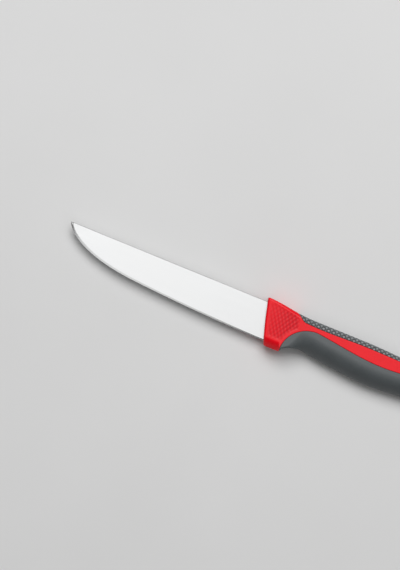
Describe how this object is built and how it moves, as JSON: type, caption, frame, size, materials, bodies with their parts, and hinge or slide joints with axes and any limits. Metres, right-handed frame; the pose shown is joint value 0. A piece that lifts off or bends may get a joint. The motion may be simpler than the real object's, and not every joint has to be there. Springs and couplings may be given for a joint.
{
  "type": "vegetable knife",
  "caption": "Kitchen knife for vegetables, with a straight-backed ground blade and a moulded handle that has a finger guard, soft grips and a textured bolster.",
  "frame": {"origin": "middle of the bounding box's underside, on the table that the knife lies on with its side down", "axes": "+X from the blade's point to the butt, +Y from the cutting edge to the spine, +Z through the thickness, away from the table"},
  "size_m": [0.2418, 0.0282, 0.016],
  "materials": {
    "blade_steel": "fine satin, ground along the blade",
    "red_plastic": "satin moulded red plastic",
    "grey_soft_grip": "soft-touch grey moulding",
    "grey_cut_grip": "soft-touch grey moulding with a diamond pattern"
  },
  "bodies": {
    "root": {"blade": "blade_steel", "handle_core": "red_plastic", "belly_grip": "grey_soft_grip", "spine_grip": "grey_cut_grip"}
  },
  "joints": []
}
